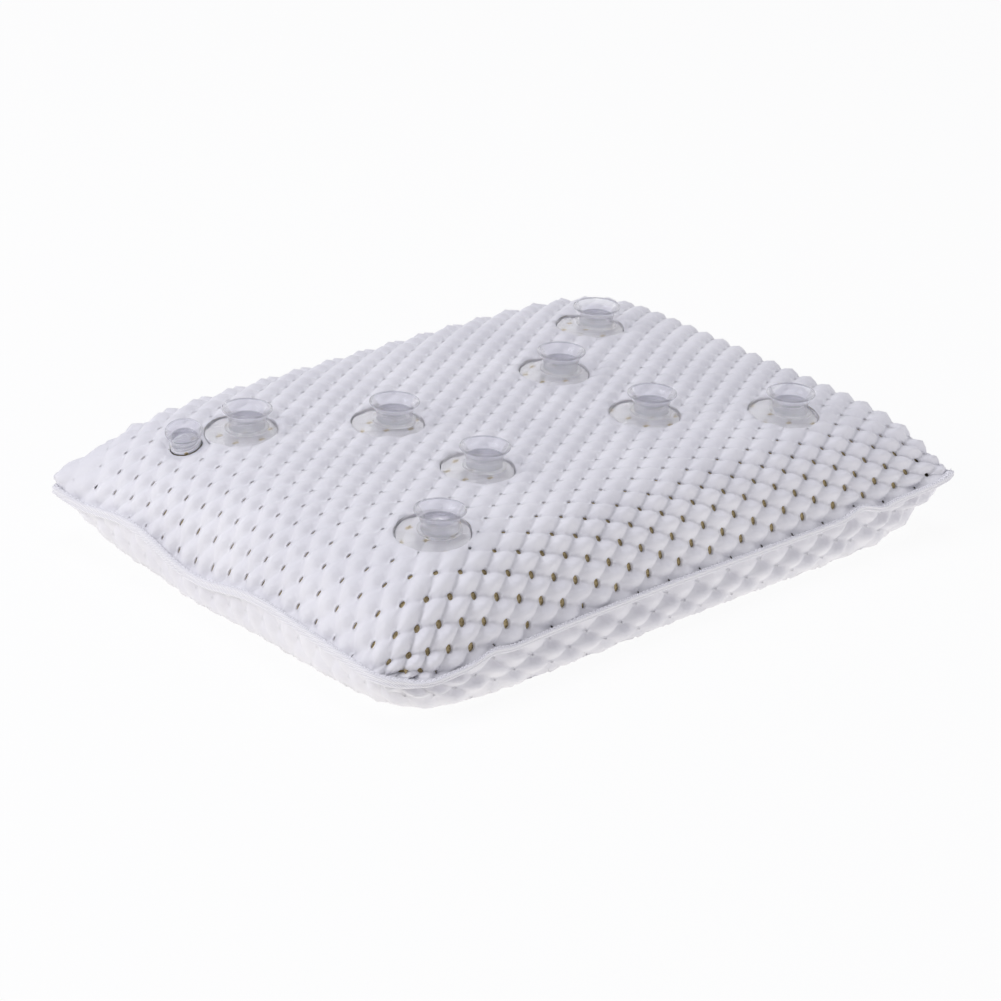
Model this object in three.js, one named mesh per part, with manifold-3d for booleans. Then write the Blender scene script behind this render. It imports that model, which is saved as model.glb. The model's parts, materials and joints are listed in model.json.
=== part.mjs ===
// Bath pillow: a foam core in two mesh covers, bound and sewn round the edge, with clear suction cups on top.
// Millimetres, +Z up, +X along the length. The origin lies under the middle, on the surface the pillow rests on.
import * as THREE from "three";
import { mergeVertices } from "three/addons/utils/BufferGeometryUtils.js";
import Module from "manifold-3d";

const wasm = await Module();
wasm.setup();

// Cushion outline over the binding, apart from its corners
const LENGTH = 372;
const WIDTH = 256;
const FRONT_DRAW = 6.6; // how far the front side is drawn in at its middle
const LEFT_DRAW = 2.8; // the same for the left end
const CORNER_CUT = 5.5; // how far the front and back corners are drawn in
const EAR_REACH = 3.2; // how far the left and right corners stand out
const EAR_LIFT = 8; // how far their seam rises
const CORNER_POWER = 12; // how close to the corner either begins

// Seam line: its height at the corners, its dip along the ends, and the wave sewn into the left end
const SEAM_HEIGHT = 20.8;
const END_SEAM_DIP = 1.3;
const WAVE_HEIGHT = 6.3;
const WAVE_LENGTH = 122;
const WAVE_PLACE = 48; // from the middle of the end towards the back
const WAVE_SPAN = 64;
const WAVE_POWER = 24; // how quickly the wave dies away inside the edge

// Swell of the crown above the seam, rounder at the front and left than at the back and right
const CROWN_HEIGHT = 41.5;
const ROUND_POWER = 8;
const ROUND_STEEPNESS = 0.85;
const FULL_POWER = 4.1;
const FULL_STEEPNESS = 0.126;

// Swell of the belly below the seam, before the floor flattens it
const BELLY_DEPTH = 69.5;
const BELLY_POWER = 2.6;
const BELLY_STEEPNESS = 0.48;
const CORNER_THINNING = 0.15; // share of either swell lost at the very corner
const THINNING_POWER = 5.5;

// Covers, hems and core
const COVER_THICKNESS = 4;
const HEM_THICKNESS = 1.2;
const CORE_INSET = 5; // from the covers' inner foot to the core's edge
const CORE_EDGE = 1;
const FIT_GAP = 0.3; // between pieces that touch

// Binding tape and its two threads
const BINDING_WIDTH = 3.2;
const BINDING_THICKNESS = 0.8;
const BINDING_ROUND = 1; // rounding at the fold
const STITCH_MARGIN = 1.2; // from the tape's free edge to the stitch line
const THREAD_RADIUS = 0.4;

// Suction cup moulding and the clear disc that it stands on
const RIM_RADIUS = 12.4;
const CUP_HEIGHT = 10.6;
const LIP_WIDTH = 1.2;
const LIP_DEPTH = 0.8;
const NECK_RADIUS = 8.6;
const NECK_FILLET = 0.9;
const FOOT_RADIUS = 10.6;
const FOOT_THICKNESS = 1;
const BOWL_FLOOR = 3; // thickness of the solid stem below the bowl
const BOWL_FULLNESS = 0.8; // how square the bowl's section is
const DISC_RADIUS = 17.8;
const DISC_THICKNESS = 1.6;
const DISC_ROUND = 0.5;
const DISC_RECESS = 1; // from the crown down to the disc's top
const CUP_OFFSET = 3; // from the disc's centre to the cup's
const PRESS_TRAVEL = 4; // how far a cup can be pressed into the cushion

// Cup layout: outer cups from the pillow's ends and sides, inner cups from its middle
const OUTER_CUP_FROM_END = 67.5;
const OUTER_CUP_FROM_SIDE = 58.5;
const INNER_CUP_ALONG = 56.5;
const INNER_CUP_ACROSS = 32.5;
const SMALL_CUP_SCALE = 0.74; // the ninth cup, beside the outer cup at the back left
const SMALL_CUP_GAP = 2.2;
const SMALL_CUP_HEADING = 155; // degrees from +X, seen from above

// Each cup's lean on its soft neck, in degrees, and the heading it leans towards
const CUP_LEANS = {
  suction_cup_1: { lean: 5.3, heading: 45 },
  suction_cup_2: { lean: 1.6, heading: 129 },
  suction_cup_3: { lean: 3.8, heading: -3 },
  suction_cup_4: { lean: 1.5, heading: 131 },
  suction_cup_5: { lean: 5.3, heading: 134 },
  suction_cup_6: { lean: 2.1, heading: 143 },
  suction_cup_7: { lean: 3.8, heading: -176 },
  suction_cup_8: { lean: 2, heading: 146 },
  suction_cup_9: { lean: 13.6, heading: -81 },
};
const OFFSET_HEADING = -45; // the way every cup sits off its disc's centre

// Facets
const HALF_STEPS = 7; // cushion steps from the middle to the edge
const CUP_SIDES = 20;
const DISC_SIDES = 16;
const CURVE_STEPS = 3;
const THREAD_SIDES = 4;

// Sizes that follow from the ones above
const HEM_EDGE = BINDING_THICKNESS + FIT_GAP;
const CROWN_INSET = BINDING_WIDTH + FIT_GAP;
const INNER_INSET = CROWN_INSET + COVER_THICKNESS;
const HEM_LOW = FIT_GAP / 2;
const HEM_TOP = HEM_LOW + HEM_THICKNESS;
const TAPE_LOW = HEM_TOP + FIT_GAP;
const TAPE_TOP = TAPE_LOW + BINDING_THICKNESS;
const INNER_HEIGHT = HEM_TOP + CROWN_HEIGHT - COVER_THICKNESS - HEM_LOW;
const CORE_TOP_HEIGHT = HEM_LOW + INNER_HEIGHT - FIT_GAP - CORE_EDGE / 2;

const material = (color, roughness) => new THREE.MeshStandardMaterial({ color, roughness, metalness: 0 });
const MESH_WHITE = material(0xd5d4de, 0.75);
const TAPE_WHITE = material(0xdddce6, 0.8);
const THREAD_WHITE = material(0xeeeef2, 0.7);
const FOAM_TAN = material(0x9a8c62, 0.95);
const CLEAR_VINYL = material(0xdcdde6, 0.15);
CLEAR_VINYL.transparent = true;
CLEAR_VINYL.opacity = 0.4;

const radians = THREE.MathUtils.degToRad;

// Cushion surfaces, over u along the length and v across the width, both from -1 to 1
const STEPS = Array.from({ length: 2 * HALF_STEPS + 1 }, (_, i) => {
  return Math.sin(((i / HALF_STEPS - 1) * Math.PI) / 2);
});
const LAST = STEPS.length - 1;

// Grid places round the edge, counter-clockwise from above
const EDGE = [
  ...STEPS.slice(0, LAST).map((_, i) => [i, 0]),
  ...STEPS.slice(0, LAST).map((_, i) => [LAST, i]),
  ...STEPS.slice(0, LAST).map((_, i) => [LAST - i, LAST]),
  ...STEPS.slice(0, LAST).map((_, i) => [0, LAST - i]),
];

// Half the length and half the width through a place
function halfSizes(u, v, inset) {
  const reach = u * v < 0 ? EAR_REACH : -CORNER_CUT;
  const endDraw = u < 0 ? LEFT_DRAW * (1 - v * v) : 0;
  const sideDraw = v < 0 ? FRONT_DRAW * (1 - u * u) : 0;
  return [
    LENGTH / 2 - inset - endDraw + reach * Math.abs(v) ** CORNER_POWER,
    WIDTH / 2 - inset - sideDraw + reach * Math.abs(u) ** CORNER_POWER,
  ];
}

function plan(u, v, inset) {
  const [halfLength, halfWidth] = halfSizes(u, v, inset);
  return [u * halfLength, v * halfWidth];
}

function seamHeight(u, v) {
  const dip = END_SEAM_DIP * (1 - v * v) * u * u;
  const place = (v * WIDTH) / 2 - WAVE_PLACE;
  const wave = Math.sin((2 * Math.PI * place) / WAVE_LENGTH) * Math.exp(-((place / WAVE_SPAN) ** 2));
  const ear = u * v < 0 ? EAR_LIFT * Math.abs(u * v) ** CORNER_POWER : 0;
  return SEAM_HEIGHT - dip + ear + WAVE_HEIGHT * wave * Math.max(0, -u) ** WAVE_POWER;
}

// Shares of a swell along u or v, 1 over the middle and 0 at the edge
const shoulder = (t, power, steepness) => Math.max(0, 1 - Math.abs(t) ** power) ** steepness;

function crownShare(t) {
  return t < 0 ? shoulder(t, ROUND_POWER, ROUND_STEEPNESS) : shoulder(t, FULL_POWER, FULL_STEEPNESS);
}

function bellyShare(t) {
  return shoulder(t, BELLY_POWER, BELLY_STEEPNESS);
}

function swell(u, v, share) {
  return share(u) * share(v) * (1 - CORNER_THINNING * Math.abs(u * v) ** THINNING_POWER);
}

function crown(inset, foot, height) {
  return (u, v) => {
    const rise = height * swell(u, v, crownShare);
    return [...plan(u, v, inset), seamHeight(u, v) + foot + rise];
  };
}

function belly(inset, foot, depth, floor) {
  return (u, v) => {
    const drop = depth * swell(u, v, bellyShare);
    return [...plan(u, v, inset), Math.max(floor, seamHeight(u, v) - foot - drop)];
  };
}

// A line round the edge, at an inset from the outline and a lift from the seam
function edgeLine(inset, lift) {
  return (u, v) => [...plan(u, v, inset), seamHeight(u, v) + lift];
}

function meshBuilder() {
  const positions = [];
  const triangles = [];
  const addPoint = (point) => positions.push(...point) / 3 - 1;
  return {
    addGrid: (surface) => STEPS.map((v) => STEPS.map((u) => addPoint(surface(u, v)))),
    addLoop: (line) => EDGE.map(([i, j]) => addPoint(line(STEPS[i], STEPS[j]))),
    // Faces of a grid, with each cell's diagonal running out towards the corner
    faceGrid(grid, up) {
      for (let j = 0; j < LAST; j += 1) {
        for (let i = 0; i < LAST; i += 1) {
          const corners = [grid[j][i], grid[j][i + 1], grid[j + 1][i + 1], grid[j + 1][i]];
          if (!up) corners.reverse();
          const outward = i < HALF_STEPS === j < HALF_STEPS;
          const [a, b, c, d] = outward === up ? corners : [...corners.slice(1), corners[0]];
          triangles.push(a, b, c, a, c, d);
        }
      }
    },
    // Faces between two lines round the edge, the first above or outside the second
    faceStrip(high, low) {
      high.forEach((_, i) => {
        const next = (i + 1) % high.length;
        triangles.push(low[i], low[next], high[next], low[i], high[next], high[i]);
      });
    },
    geometry() {
      const made = new THREE.BufferGeometry();
      made.setAttribute("position", new THREE.Float32BufferAttribute(positions, 3));
      made.setIndex(triangles);
      return made;
    },
  };
}

const gridEdge = (grid) => EDGE.map(([i, j]) => grid[j][i]);

// A solid between two cushion surfaces, closed round the edge by way of the given lines
function cushionGeometry(upper, lines, lower) {
  const builder = meshBuilder();
  const top = builder.addGrid(upper);
  const bottom = builder.addGrid(lower);
  const loops = [gridEdge(top), ...lines.map(builder.addLoop), gridEdge(bottom)];
  builder.faceGrid(top, true);
  builder.faceGrid(bottom, false);
  loops.slice(1).forEach((loop, i) => builder.faceStrip(loops[i], loop));
  return builder.geometry();
}

// A ring round the edge with a closed section of [inset, lift] points, from the top outwards and down
function ringGeometry(section) {
  const builder = meshBuilder();
  const loops = section.map(([inset, lift]) => builder.addLoop(edgeLine(inset, lift)));
  loops.forEach((loop, i) => builder.faceStrip(loop, loops[(i + 1) % loops.length]));
  return builder.geometry();
}

function threadSection(lift) {
  const stitchInset = BINDING_WIDTH - STITCH_MARGIN;
  return Array.from({ length: THREAD_SIDES }, (_, i) => {
    const turn = (2 * Math.PI * i) / THREAD_SIDES;
    return [stitchInset - THREAD_RADIUS * Math.sin(turn), lift + THREAD_RADIUS * Math.cos(turn)];
  });
}

// Solids for cutting
function toSolid(geometry) {
  const bare = geometry.clone();
  bare.deleteAttribute("normal");
  bare.deleteAttribute("uv");
  const merged = mergeVertices(bare);
  const vertProperties = new Float32Array(merged.attributes.position.array);
  const triVerts = new Uint32Array(merged.index.array);
  return new wasm.Manifold(new wasm.Mesh({ numProp: 3, vertProperties, triVerts }));
}

function toGeometry(solid) {
  const mesh = solid.getMesh();
  const made = new THREE.BufferGeometry();
  made.setAttribute("position", new THREE.BufferAttribute(mesh.vertProperties, 3));
  made.setIndex(new THREE.BufferAttribute(mesh.triVerts, 1));
  return made;
}

function cut(geometry, cutters) {
  return toGeometry(cutters.reduce((solid, cutter) => solid.subtract(toSolid(cutter)), toSolid(geometry)));
}

// Suction cups
const crownTop = crown(CROWN_INSET, HEM_TOP, CROWN_HEIGHT);

// Where a cup sits on the crown: its point and the crown's outward direction there
function seatAt(x, y) {
  let [u, v] = [(2 * x) / LENGTH, (2 * y) / WIDTH];
  for (let i = 0; i < 8; i += 1) {
    const [halfLength, halfWidth] = halfSizes(u, v, CROWN_INSET);
    [u, v] = [x / halfLength, y / halfWidth];
  }
  const small = 1e-3;
  const at = (du, dv) => new THREE.Vector3(...crownTop(u + du, v + dv));
  const along = at(small, 0).sub(at(-small, 0));
  const across = at(0, small).sub(at(0, -small));
  return { point: at(0, 0), normal: along.cross(across).normalize() };
}

function towards(heading, distance) {
  return [distance * Math.cos(radians(heading)), distance * Math.sin(radians(heading))];
}

function cupLayout() {
  const outerX = LENGTH / 2 - OUTER_CUP_FROM_END;
  const outerY = WIDTH / 2 - OUTER_CUP_FROM_SIDE;
  const reach = DISC_RADIUS + FOOT_RADIUS * SMALL_CUP_SCALE + SMALL_CUP_GAP;
  const [smallX, smallY] = towards(SMALL_CUP_HEADING, reach);
  return [
    { x: -outerX, y: -outerY },
    { x: -INNER_CUP_ALONG, y: -INNER_CUP_ACROSS },
    { x: -outerX, y: outerY },
    { x: -INNER_CUP_ALONG, y: INNER_CUP_ACROSS },
    { x: outerX, y: -outerY },
    { x: INNER_CUP_ALONG, y: -INNER_CUP_ACROSS },
    { x: outerX, y: outerY },
    { x: INNER_CUP_ALONG, y: INNER_CUP_ACROSS },
    { x: -outerX + smallX, y: outerY + smallY, small: true },
  ];
}

// Foot, neck, bell and bowl turned about the axis, foot down
function cupGeometry(scale) {
  const profile = new THREE.Path();
  const neckTop = FOOT_THICKNESS + NECK_FILLET;
  const lipFoot = CUP_HEIGHT - LIP_DEPTH;
  const bowlRadius = RIM_RADIUS - LIP_WIDTH;
  profile.moveTo(0, 0);
  profile.lineTo(FOOT_RADIUS, 0);
  profile.lineTo(FOOT_RADIUS, FOOT_THICKNESS);
  profile.lineTo(NECK_RADIUS + NECK_FILLET, FOOT_THICKNESS);
  profile.quadraticCurveTo(NECK_RADIUS, FOOT_THICKNESS, NECK_RADIUS, neckTop);
  profile.quadraticCurveTo(NECK_RADIUS, (neckTop + lipFoot) / 2, RIM_RADIUS, lipFoot);
  profile.lineTo(RIM_RADIUS, CUP_HEIGHT);
  profile.lineTo(bowlRadius, CUP_HEIGHT);
  profile.quadraticCurveTo(bowlRadius * BOWL_FULLNESS, BOWL_FLOOR, 0, BOWL_FLOOR);
  const turned = new THREE.LatheGeometry(profile.getPoints(CURVE_STEPS), CUP_SIDES);
  return turned.rotateX(Math.PI / 2).scale(scale, scale, scale);
}

// Leans everything above the foot, gradually over the neck
function leanNeck(geometry, { lean, heading }, scale) {
  const pivot = new THREE.Vector3(0, 0, FOOT_THICKNESS * scale);
  const axis = new THREE.Vector3(...towards(heading + 90, 1), 0);
  const place = geometry.attributes.position;
  const point = new THREE.Vector3();
  for (let i = 0; i < place.count; i += 1) {
    point.fromBufferAttribute(place, i).sub(pivot);
    const share = THREE.MathUtils.smoothstep(point.z, 0, (BOWL_FLOOR - FOOT_THICKNESS) * scale);
    point.applyAxisAngle(axis, radians(lean) * share).add(pivot);
    place.setXYZ(i, point.x, point.y, point.z);
  }
  return geometry;
}

function discGeometry() {
  const profile = [
    new THREE.Vector2(0, 0),
    new THREE.Vector2(DISC_RADIUS, 0),
    new THREE.Vector2(DISC_RADIUS, DISC_THICKNESS - DISC_ROUND),
    new THREE.Vector2(DISC_RADIUS - DISC_ROUND, DISC_THICKNESS),
    new THREE.Vector2(0, DISC_THICKNESS),
  ];
  return new THREE.LatheGeometry(profile, DISC_SIDES).rotateX(Math.PI / 2);
}

// A round cutter in a cup's own frame, from the foot's place when pressed to well above the crown
function wellCutter(frame, radius, sides, [x, y]) {
  const depth = PRESS_TRAVEL + FIT_GAP;
  const height = depth + CROWN_HEIGHT;
  const cutter = new THREE.CylinderGeometry(radius, radius, height, sides).rotateX(Math.PI / 2);
  return cutter.translate(x, y, height / 2 - depth).applyMatrix4(frame.matrix);
}

// Where the middle of a leaning rim lies beside the middle of its foot
function rimShift({ lean, heading }, scale) {
  return towards(heading, (CUP_HEIGHT - FOOT_THICKNESS) * scale * Math.sin(radians(lean)));
}

function addPiece(parent, name, geometry, finish) {
  const piece = new THREE.Mesh(geometry, finish);
  piece.name = name;
  parent.add(piece);
  return piece;
}

const pillow = new THREE.Group();
const wells = [];

cupLayout().forEach(({ x, y, small }, index) => {
  const { point, normal } = seatAt(x, y);
  const scale = small ? SMALL_CUP_SCALE : 1;
  const base = small ? FOOT_THICKNESS * scale : DISC_THICKNESS;
  const radius = small ? FOOT_RADIUS * scale : DISC_RADIUS;
  const frame = new THREE.Group();
  frame.position.copy(point).addScaledVector(normal, -DISC_RECESS - base);
  frame.quaternion.setFromUnitVectors(new THREE.Vector3(0, 0, 1), normal);
  frame.updateMatrix();
  pillow.add(frame);

  const name = `suction_cup_${index + 1}`;
  const cup = addPiece(frame, name, leanNeck(cupGeometry(scale), CUP_LEANS[name], scale), CLEAR_VINYL);
  if (!small) {
    addPiece(frame, `cup_disc_${index + 1}`, discGeometry(), CLEAR_VINYL);
    cup.position.set(...towards(OFFSET_HEADING, CUP_OFFSET), DISC_THICKNESS + FIT_GAP);
  }
  wells.push(wellCutter(frame, radius + FIT_GAP, small ? CUP_SIDES : DISC_SIDES, [0, 0]));
  if (small) {
    const shift = rimShift(CUP_LEANS[name], scale);
    wells.push(wellCutter(frame, RIM_RADIUS * scale + FIT_GAP, DISC_SIDES, shift));
  }
});

// Covers, core, binding and threads
const hemLines = [edgeLine(HEM_EDGE, HEM_TOP), edgeLine(HEM_EDGE, HEM_LOW)];
const topInside = crown(INNER_INSET, HEM_LOW, INNER_HEIGHT);
addPiece(pillow, "top_cover", cut(cushionGeometry(crownTop, hemLines, topInside), wells), MESH_WHITE);

const lowHemLines = [edgeLine(HEM_EDGE, -HEM_LOW), edgeLine(HEM_EDGE, -HEM_TOP)];
const bellyInside = belly(INNER_INSET, HEM_LOW, BELLY_DEPTH - COVER_THICKNESS, COVER_THICKNESS);
const bellyOutside = belly(CROWN_INSET, HEM_TOP, BELLY_DEPTH, 0);
addPiece(pillow, "bottom_cover", cushionGeometry(bellyInside, lowHemLines, bellyOutside), MESH_WHITE);

const coreTop = crown(INNER_INSET + CORE_INSET, CORE_EDGE / 2, CORE_TOP_HEIGHT);
const coreDepth = BELLY_DEPTH - COVER_THICKNESS - CORE_EDGE;
const coreBelly = belly(INNER_INSET + CORE_INSET, CORE_EDGE / 2, coreDepth, COVER_THICKNESS + FIT_GAP);
addPiece(pillow, "foam_core", cut(cushionGeometry(coreTop, [], coreBelly), wells), FOAM_TAN);

const tapeSection = [
  [BINDING_WIDTH, TAPE_TOP],
  [BINDING_ROUND, TAPE_TOP],
  [0, 0],
  [BINDING_ROUND, -TAPE_TOP],
  [BINDING_WIDTH, -TAPE_TOP],
  [BINDING_WIDTH, -TAPE_LOW],
  [BINDING_THICKNESS, -TAPE_LOW],
  [BINDING_THICKNESS, TAPE_LOW],
  [BINDING_WIDTH, TAPE_LOW],
];
addPiece(pillow, "edge_binding", ringGeometry(tapeSection), TAPE_WHITE);

const threadLift = TAPE_TOP + FIT_GAP + THREAD_RADIUS;
addPiece(pillow, "needle_thread", ringGeometry(threadSection(threadLift)), THREAD_WHITE);
addPiece(pillow, "bobbin_thread", ringGeometry(threadSection(-threadLift)), THREAD_WHITE);

export default pillow;
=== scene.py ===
"""Bath pillow: foamed-mesh covers over a foam core, a sewn and bound edge, and clear suction cups on top.

Sizes are in millimetres until a mesh is made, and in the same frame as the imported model.
"""

import json
import math

import bpy
import numpy as np
from mathutils import Matrix, Quaternion, Vector


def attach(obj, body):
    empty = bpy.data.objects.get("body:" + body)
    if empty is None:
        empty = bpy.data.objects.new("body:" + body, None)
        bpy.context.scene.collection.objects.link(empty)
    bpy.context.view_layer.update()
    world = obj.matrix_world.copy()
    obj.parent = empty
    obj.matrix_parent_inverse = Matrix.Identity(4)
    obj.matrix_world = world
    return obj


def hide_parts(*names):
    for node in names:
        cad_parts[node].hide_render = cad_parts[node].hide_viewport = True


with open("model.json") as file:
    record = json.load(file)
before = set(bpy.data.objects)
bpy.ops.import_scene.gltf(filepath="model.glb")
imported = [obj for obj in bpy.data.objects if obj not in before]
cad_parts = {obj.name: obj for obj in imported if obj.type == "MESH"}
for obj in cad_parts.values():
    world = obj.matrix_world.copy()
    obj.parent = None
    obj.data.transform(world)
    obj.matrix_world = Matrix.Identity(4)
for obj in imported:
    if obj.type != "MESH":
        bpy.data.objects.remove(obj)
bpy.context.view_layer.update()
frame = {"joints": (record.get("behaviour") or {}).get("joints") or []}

# Cushion outline, seam and swell, as in the part's source
LENGTH, WIDTH = 372.0, 256.0
FRONT_DRAW, LEFT_DRAW, CORNER_CUT = 6.6, 2.8, 5.5
EAR_REACH, EAR_LIFT, CORNER_POWER = 3.2, 8.0, 12
SEAM_HEIGHT, END_SEAM_DIP = 20.8, 1.3
WAVE_HEIGHT, WAVE_LENGTH, WAVE_PLACE, WAVE_SPAN, WAVE_POWER = 6.3, 122.0, 48.0, 64.0, 24
CROWN_HEIGHT = 41.5
ROUND_POWER, ROUND_STEEPNESS, FULL_POWER, FULL_STEEPNESS = 8, 0.85, 4.1, 0.126
BELLY_DEPTH, BELLY_POWER, BELLY_STEEPNESS = 69.5, 2.6, 0.48
CORNER_THINNING, THINNING_POWER = 0.15, 5.5
FIT_GAP = 0.3
CROWN_INSET, HEM_TOP = 3.5, 1.35

# Edge as it shows: the soft covers swell out over a thin tape, and the seam wanders
COVER_INSET, HEM_EDGE, FOOT_DROP = 2.5, 1.0, 0.6
TAPE_WIDTH, TAPE_THICKNESS, TAPE_LOW, TAPE_TOP = 2.4, 0.6, 0.85, 1.4
STITCH_INSET, STITCH_LENGTH, LEFT_TAPE_SPREAD = 1.5, 2.6, 0.6
TAPE_STEPS = 720
ROUND_CORNER, ROUND_EAR = 20.0, 8.0  # corner rounding, seen from above
FRONT_CORNER_DIP, FRONT_BULGE = 3.0, 6.0
NOSE_DROOP, NOSE_BULGE = 4.5, 7.0  # the left corner ends in a blunt nose that hangs over the tape
# Place, spread and rise of each bump along the front seam
SEAM_BUMPS = ((-132, 9, 2.5), (121, 8, 3.2), (138, 6, -1.5), (165, 70, 3.0), (-40, 120, 0.8))
LEFT_RISE_PLACE, LEFT_RISE_SPREAD, LEFT_RISE = -25.0, 75.0, 3.4

# Mesh of the covers: lattice of holes, and the lumps between them
ROPE_STEP = np.array((10.20, 5.86))  # from hole to hole along a row of lumps
NEXT_STEP = np.array((10.91, -5.77))  # from one row to the next
TOP_START, BOTTOM_START = np.array((-6.0, -0.1)), np.array((-6.0, -2.6))
SLOPE_GIVE = 0.14  # how far the mesh stretches down the sides
CORNER_PULL = 17.0  # how far it is drawn out towards the front left corner
# Half size of a hole on the flat, and its change down the ends and the sides
HOLE_X, HOLE_Y = (1.1, 0.75, 0.8), (0.55, 0.15, 1.7)
HOLE_ROUNDING = 2.6
UNDER_HOLES, UNDER_RELIEF, FLAT_RELIEF = 0.22, 0.9, 0.62  # below the seam, and away from the front and back
LUMP_RISE, CREASE_DEPTH, WAIST_DEPTH, WALL_DEPTH, CORE_DEPTH = 0.9, 5.6, 3.2, 4.8, 5.0
HEM_REACH = COVER_INSET - HEM_EDGE
SIDE_PLACES = np.array((0.0, 0.3, 0.5, 0.7))  # points along a lump's side, closest at the crease
SIDES = 4 * len(SIDE_PLACES)
RINGS = (0.0, 0.12, 0.34, 0.66, 1.0)
LATTICE_MARGIN = 32.0  # how far past the outline holes are laid, before the hem ends them

# Suction cups and discs, as in the part's source
RIM_RADIUS, CUP_HEIGHT, LIP_WIDTH, LIP_DEPTH = 12.4, 10.6, 1.2, 0.8
NECK_RADIUS, NECK_FILLET, FOOT_RADIUS, FOOT_THICKNESS = 8.6, 0.9, 10.6, 1.0
BOWL_FLOOR, BOWL_FULLNESS, NECK_HEIGHT = 3.0, 0.8, 5.2
DISC_RADIUS, DISC_THICKNESS, DISC_RECESS = 17.8, 1.6, 1.0
# The mesh round a disc: its rise above the disc's top, and above the disc's underside at the wall
RIM_LEVEL, RIM_EDGE = 0.6, 0.4
CUP_OFFSET, OFFSET_HEADING, PRESS_TRAVEL = 3.0, -45.0, 4.0
OUTER_X, OUTER_Y, INNER_X, INNER_Y = 118.5, 69.5, 56.5, 32.5
SMALL_SCALE, SMALL_GAP, SMALL_HEADING = 0.74, 2.2, 155.0
SMALL_WELL_TOP, WELL_ROOM = -2.0, 1.4  # the mesh at the small foot, and the well below a pressed disc
CUP_SIDES = 72
# Lean of each cup and the way it leans, in degrees
CUP_LEANS = (
    (5.3, 45), (1.6, 129), (3.8, -3), (1.5, 131), (5.3, 134), (2.1, 143), (3.8, -176), (2, 146), (13.6, -81),
)


# Cushion surfaces over u and v, both from -1 to 1
def smooth_step(value, low, high):
    x = np.clip((value - low) / (high - low), 0, 1)
    return x * x * (3 - 2 * x)


def half_sizes(u, v, inset):
    reach = np.where(u * v < 0, EAR_REACH, -CORNER_CUT)
    end_draw = np.where(u < 0, LEFT_DRAW, 0) * (1 - v * v)
    side_draw = np.where(v < 0, FRONT_DRAW, 0) * (1 - u * u)
    half_length = LENGTH / 2 - inset - end_draw + reach * np.abs(v) ** CORNER_POWER
    half_width = WIDTH / 2 - inset - side_draw + reach * np.abs(u) ** CORNER_POWER
    return half_length, half_width


def round_corner(x, y, half_length, half_width):
    radius = np.where(x * y < 0, ROUND_EAR, ROUND_CORNER)
    dx = np.clip((np.abs(x) - half_length + radius) / radius, 0, 1)
    dy = np.clip((np.abs(y) - half_width + radius) / radius, 0, 1)
    new_x = np.abs(x) + radius * dx * (np.sqrt(1 - dy ** 2 / 2) - 1)
    new_y = np.abs(y) + radius * dy * (np.sqrt(1 - dx ** 2 / 2) - 1)
    return np.sign(x) * new_x, np.sign(y) * new_y


def plan(u, v, inset):
    half_length, half_width = half_sizes(u, v, inset)
    return round_corner(u * half_length, v * half_width, half_length, half_width)


def left_corner(u, v):
    return np.maximum(0, -u) * np.maximum(0, v)


def seam_height(u, v):
    dip = END_SEAM_DIP * (1 - v * v) * u * u
    place = v * WIDTH / 2 - WAVE_PLACE
    wave = np.sin(2 * np.pi * place / WAVE_LENGTH) * np.exp(-((place / WAVE_SPAN) ** 2))
    ear = np.where(u * v < 0, EAR_LIFT * np.abs(u * v) ** CORNER_POWER, 0)
    ear = ear - NOSE_DROOP * left_corner(u, v) ** 40
    left_rise = LEFT_RISE * np.exp(-(((v * WIDTH / 2 - LEFT_RISE_PLACE) / LEFT_RISE_SPREAD) ** 2))
    left = (WAVE_HEIGHT * wave + left_rise) * np.maximum(0, -u) ** WAVE_POWER
    bumps = sum(rise * np.exp(-((u * LENGTH / 2 - at) / spread) ** 2) for at, spread, rise in SEAM_BUMPS)
    front = bumps * np.maximum(0, -v) ** WAVE_POWER
    corner = FRONT_CORNER_DIP * np.where((u < 0) & (v < 0), np.abs(u * v) ** 6, 0)
    return SEAM_HEIGHT - dip + ear + left + front - corner


def shoulder(t, power, steepness):
    return np.maximum(0, 1 - np.abs(t) ** power) ** steepness


def crown_share(t):
    """The front and left sides are rounder than the back and right ones."""
    rounded = shoulder(t, ROUND_POWER, ROUND_STEEPNESS)
    return np.where(t < 0, rounded, shoulder(t, FULL_POWER, FULL_STEEPNESS))


def belly_share(t):
    return shoulder(t, BELLY_POWER, BELLY_STEEPNESS)


def swell(u, v, share):
    return share(u) * share(v) * (1 - CORNER_THINNING * np.abs(u * v) ** THINNING_POWER)


def crown_height(u, v):
    return seam_height(u, v) + HEM_TOP + CROWN_HEIGHT * swell(u, v, crown_share)


def belly_height(u, v):
    return np.maximum(0, seam_height(u, v) - HEM_TOP - BELLY_DEPTH * swell(u, v, belly_share))


def top_surface(u, v):
    x, y = plan(u, v, COVER_INSET)
    rise = CROWN_HEIGHT * swell(u, v, crown_share)
    nose = NOSE_BULGE * left_corner(u, v) ** 10 * smooth_step(rise, 0, 5) * smooth_step(-rise, -22, -9)
    z = crown_height(u, v) - FOOT_DROP * (1 - swell(u, v, crown_share))
    return np.stack([x - 0.7 * nose, y + 0.7 * nose, z], -1)


def bottom_surface(u, v):
    """The belly, pushed out a little below the seam along the front."""
    x, y = plan(u, v, COVER_INSET)
    z = belly_height(u, v) + FOOT_DROP * (1 - swell(u, v, belly_share)) ** 4
    drop = np.clip(1 - z / seam_height(u, v), 0, 1)
    bulge = FRONT_BULGE * smooth_step(drop, 0, 0.8) * smooth_step(-v, 0.6, 0.95) * (1 - u ** 8)
    return np.stack([x, y - bulge, z], -1)


# Cup places
def towards(heading, distance):
    return np.array((distance * math.cos(math.radians(heading)), distance * math.sin(math.radians(heading))))


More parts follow.
